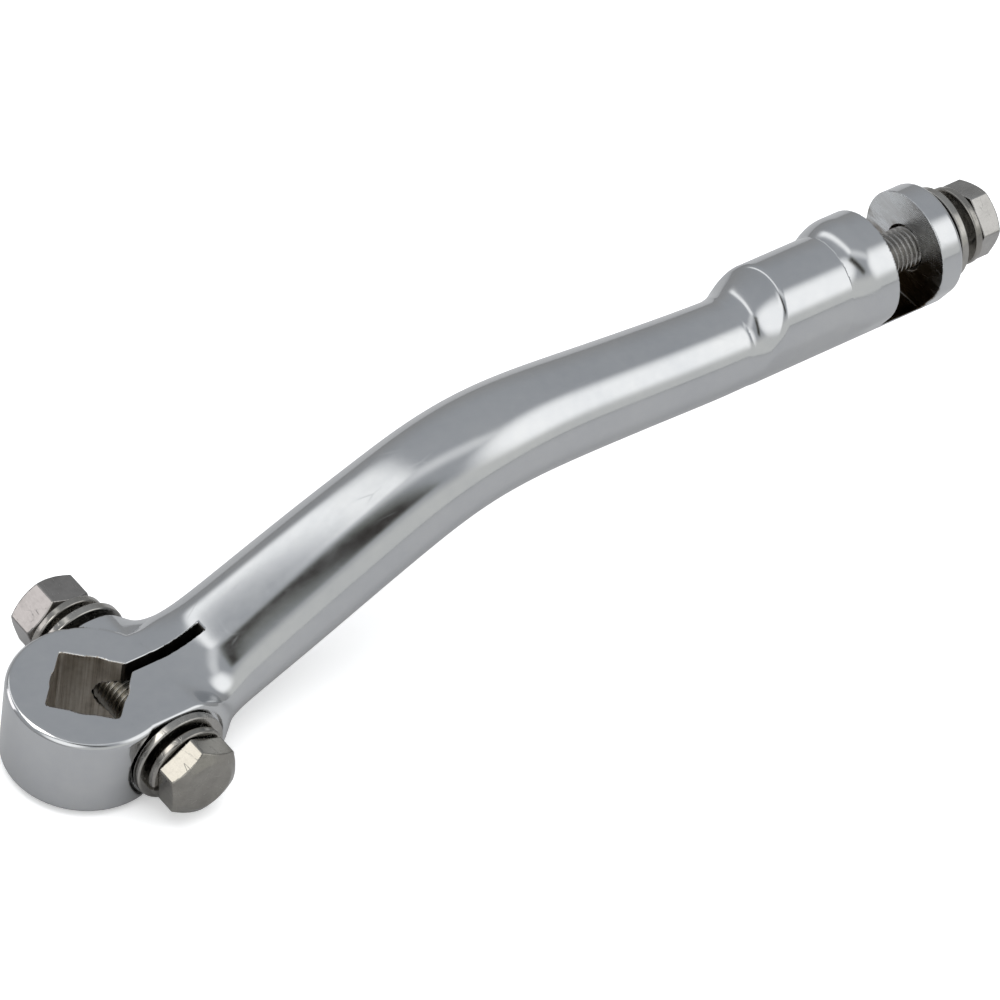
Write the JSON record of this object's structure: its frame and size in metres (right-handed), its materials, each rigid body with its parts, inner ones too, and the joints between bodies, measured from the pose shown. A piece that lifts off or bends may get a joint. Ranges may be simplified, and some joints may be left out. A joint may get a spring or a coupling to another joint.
{
  "type": "gear shift lever",
  "caption": "Chromed forged crank lever with a split square-socket hub pinched by a bolt and nut, and a bolted clevis end.",
  "frame": {"origin": "centre of the square shaft socket on the hub's underside", "axes": "+Z along the shaft axis, out through the hub's top face; +X along the lever, towards the clevis; +Y towards the pinch nut"},
  "size_m": [0.2078, 0.0497, 0.0476],
  "materials": {
    "chrome": "bright chrome plate over polished forged steel",
    "stainless_bolt": "satin stainless, lightly marked by a spanner",
    "stainless_washer": "satin stainless spring steel and stamped washer"
  },
  "bodies": {
    "lever": {"lever_arm": "chrome"},
    "head_flat_washer": {"pinch_head_flat_washer": "stainless_washer"},
    "head_lock_washer": {"pinch_head_lock_washer": "stainless_washer"},
    "pinch_screw": {"pinch_bolt": "stainless_bolt"},
    "nut_flat_washer": {"pinch_nut_flat_washer": "stainless_washer"},
    "nut_lock_washer": {"pinch_nut_lock_washer": "stainless_washer"},
    "pinch_nut": {"pinch_nut": "stainless_bolt"},
    "clevis_flat_washer": {"clevis_flat_washer": "stainless_washer"},
    "clevis_lock_washer": {"clevis_lock_washer": "stainless_washer"},
    "clevis_screw": {"clevis_bolt": "stainless_bolt"}
  },
  "joints": [
    {"name": "head_flat_washer_slide", "type": "slide", "parent": "lever", "child": "head_flat_washer", "axis": [0, 1, 0], "range_m": [-0.0006, 0.0003]},
    {"name": "head_lock_washer_slide", "type": "slide", "parent": "lever", "child": "head_lock_washer", "axis": [0, 1, 0], "range_m": [-0.0008, 0.00037]},
    {"name": "pinch_bolt_turn", "type": "hinge", "parent": "head_lock_washer", "child": "pinch_screw", "pos_m": [0.0088, -0.01798, 0.00815], "axis": [0, 1, 0], "continuous": true},
    {"name": "nut_flat_washer_slide", "type": "slide", "parent": "lever", "child": "nut_flat_washer", "axis": [0, 1, 0], "range_m": [-0.00121, 0.0024]},
    {"name": "nut_lock_washer_slide", "type": "slide", "parent": "pinch_screw", "child": "nut_lock_washer", "axis": [0, 1, 0], "range_m": [-0.0028, 0.0053]},
    {"name": "pinch_nut_turn", "type": "hinge", "parent": "nut_lock_washer", "child": "pinch_nut", "pos_m": [0.0088, 0.01968, 0.00815], "axis": [0, 1, 0], "range_deg": [-953, 1804]},
    {"name": "clevis_flat_washer_slide", "type": "slide", "parent": "lever", "child": "clevis_flat_washer", "axis": [1, 0, 0], "range_m": [-0.00121, 0.005]},
    {"name": "clevis_lock_washer_slide", "type": "slide", "parent": "lever", "child": "clevis_lock_washer", "axis": [1, 0, 0], "range_m": [-0.00337, 0.0131]},
    {"name": "clevis_bolt_turn", "type": "hinge", "parent": "clevis_lock_washer", "child": "clevis_screw", "pos_m": [0.1884, 0, 0.0363], "axis": [1, 0, 0], "range_deg": [-1147, 4457]}
  ],
  "couplings": [
    {"joint": "pinch_nut_turn", "follows": "nut_lock_washer_slide", "rad_per_m": 5936.8},
    {"joint": "nut_flat_washer_slide", "follows": "nut_lock_washer_slide", "ratio": 0.4287},
    {"joint": "head_flat_washer_slide", "follows": "nut_lock_washer_slide", "ratio": -0.10253},
    {"joint": "head_lock_washer_slide", "follows": "nut_lock_washer_slide", "ratio": -0.1274},
    {"joint": "clevis_bolt_turn", "follows": "clevis_lock_washer_slide", "rad_per_m": 5936.8},
    {"joint": "clevis_flat_washer_slide", "follows": "clevis_lock_washer_slide", "ratio": 0.3561}
  ]
}
